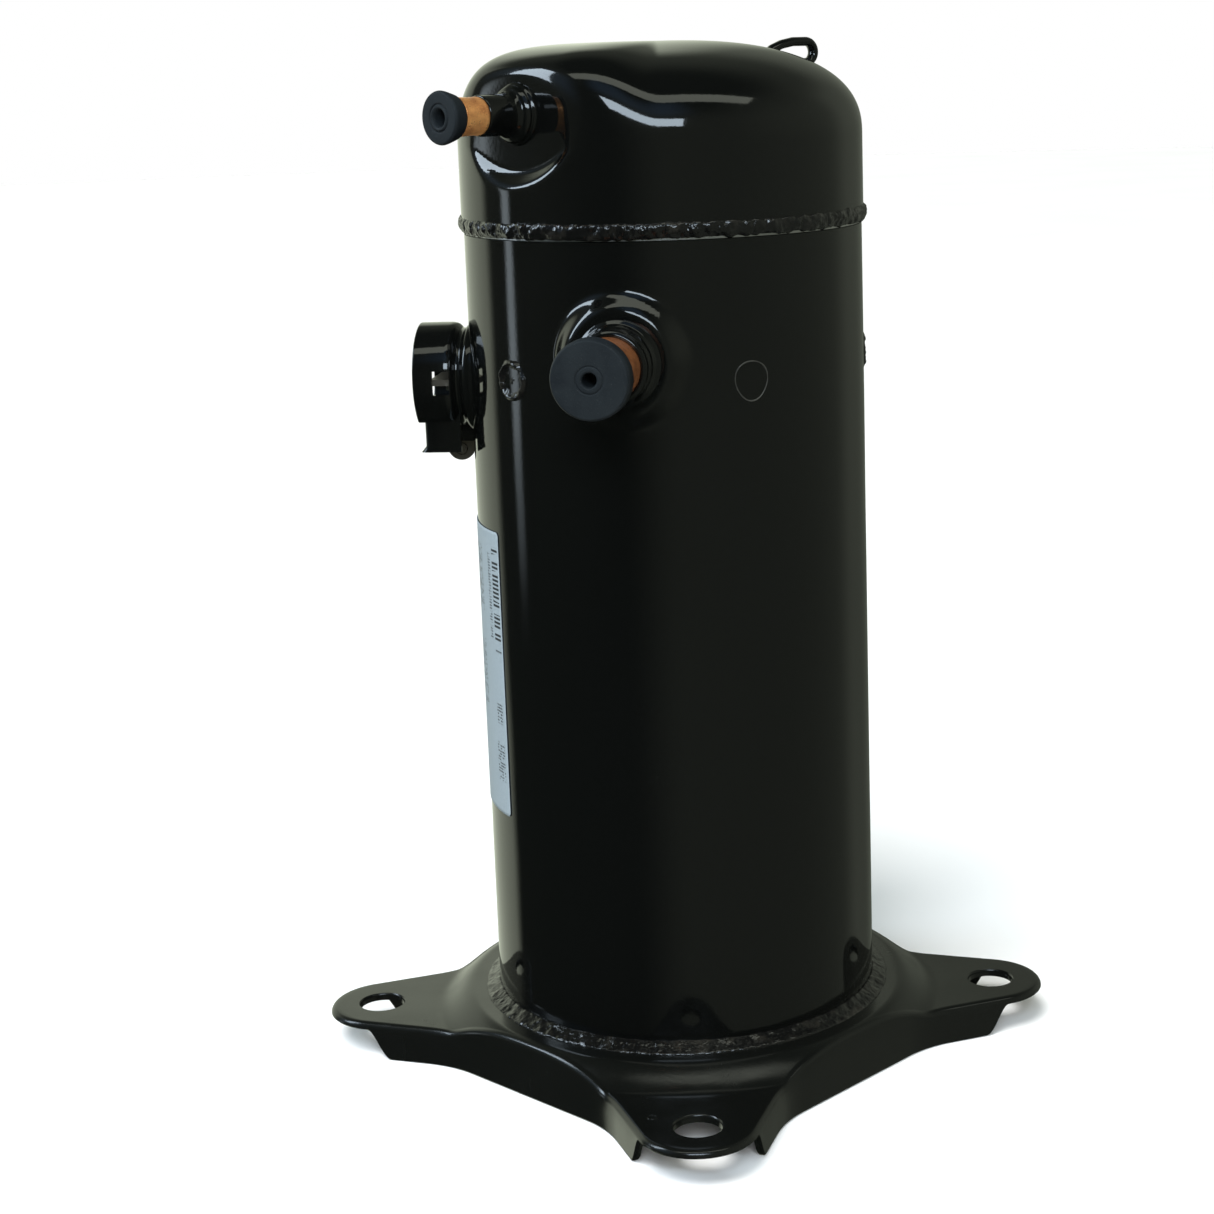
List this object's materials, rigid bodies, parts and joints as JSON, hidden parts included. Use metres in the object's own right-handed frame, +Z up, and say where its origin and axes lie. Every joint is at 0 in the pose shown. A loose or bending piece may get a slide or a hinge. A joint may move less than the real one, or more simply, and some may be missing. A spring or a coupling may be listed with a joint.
{
  "type": "scroll compressor",
  "caption": "Hermetic scroll compressor: welded black shell on a four-footed base, with plugged suction and discharge stubs, a terminal housing and the full running gear inside.",
  "frame": {"origin": "on the shell axis, on the floor under the base plate flange", "axes": "+Z up along the shell; the feet point along X and Y, and -Y is the side of the suction stub"},
  "size_m": [0.314, 0.314, 0.427],
  "materials": {
    "enamel": "gloss black enamel, reflective",
    "weld": "painted weld bead, rippled",
    "copper": "copper tube, scratched and lightly tarnished",
    "rubber": "matt moulded rubber",
    "paper": "satin printed paper label",
    "steel": "machined steel",
    "plated": "dull plated steel",
    "cast_iron": "machined cast iron",
    "aluminium": "die-cast aluminium",
    "bronze": "sintered bronze",
    "winding": "varnished copper wire, laced",
    "seal": "glass-sealed terminal plate",
    "moulded": "moulded black plastic"
  },
  "bodies": {
    "housing": {"base_plate": "enamel", "bottom_cap": "enamel", "shell_tube": "enamel", "top_cap": "enamel", "lower_weld": "weld", "upper_weld": "weld", "separator_plate": "steel", "lifting_eye": "enamel", "suction_collar": "enamel", "suction_stub": "copper", "discharge_fitting": "enamel", "discharge_stub": "copper", "terminal_fence": "enamel", "fence_strap": "plated", "terminal_base": "seal", "terminal_cluster": "moulded", "terminal_pin_1": "plated", "terminal_pin_2": "plated", "terminal_pin_3": "plated", "ground_tab": "plated", "ground_screw": "plated", "nameplate": "paper", "main_frame": "cast_iron", "main_bearing": "bronze", "fixed_scroll": "cast_iron", "scroll_bolt_1": "plated", "scroll_bolt_2": "plated", "scroll_bolt_3": "plated", "scroll_bolt_4": "plated", "scroll_bolt_5": "plated", "floating_seal": "steel", "check_valve_guard": "steel", "relief_valve": "steel", "stator_core": "steel", "upper_winding": "winding", "lower_winding": "winding", "motor_protector": "moulded", "motor_leads": "moulded", "lower_bracket": "steel", "lower_bearing": "bronze"},
    "crank": {"crankshaft": "cast_iron", "drive_bush": "steel", "rotor_core": "steel", "rotor_end_ring_upper": "aluminium", "rotor_end_ring_lower": "aluminium", "upper_counterweight": "bronze", "lower_counterweight": "bronze", "oil_pickup": "steel"},
    "orbiting_scroll": {"orbiting_scroll": "aluminium", "orbit_bearing": "bronze"},
    "thrust_ring": {"thrust_ring": "bronze"},
    "oldham_ring": {"oldham_ring": "aluminium"},
    "check_valve": {"check_valve_disc": "steel"},
    "suction_plug": {"suction_plug": "rubber"},
    "discharge_plug": {"discharge_plug": "rubber"}
  },
  "joints": [
    {"name": "crank_spin", "type": "hinge", "parent": "housing", "child": "crank", "pos_m": [0, 0, 0.2], "axis": [0, 0, 1], "continuous": true},
    {"name": "orbit", "type": "hinge", "parent": "crank", "child": "orbiting_scroll", "pos_m": [0.005, 0, 0.3], "axis": [0, 0, 1], "continuous": true},
    {"name": "thrust_ring_turn", "type": "hinge", "parent": "crank", "child": "thrust_ring", "pos_m": [0.0025, 0, 0.307], "axis": [0, 0, 1], "continuous": true},
    {"name": "oldham_slide", "type": "hinge", "parent": "thrust_ring", "child": "oldham_ring", "pos_m": [0.005, 0, 0.305], "axis": [0, 0, 1], "continuous": true},
    {"name": "valve_lift", "type": "slide", "parent": "housing", "child": "check_valve", "axis": [0, 0, 1], "range_m": [0, 0.003]},
    {"name": "suction_plug_pull", "type": "slide", "parent": "housing", "child": "suction_plug", "axis": [-0.2351, -0.972, 0], "range_m": [0, 0.06]},
    {"name": "discharge_plug_pull", "type": "slide", "parent": "housing", "child": "discharge_plug", "axis": [-0.7193, -0.6947, 0], "range_m": [0, 0.05]}
  ],
  "couplings": [
    {"joint": "orbit", "follows": "crank_spin", "ratio": -1},
    {"joint": "thrust_ring_turn", "follows": "crank_spin", "ratio": -2},
    {"joint": "oldham_slide", "follows": "crank_spin", "ratio": 1}
  ]
}
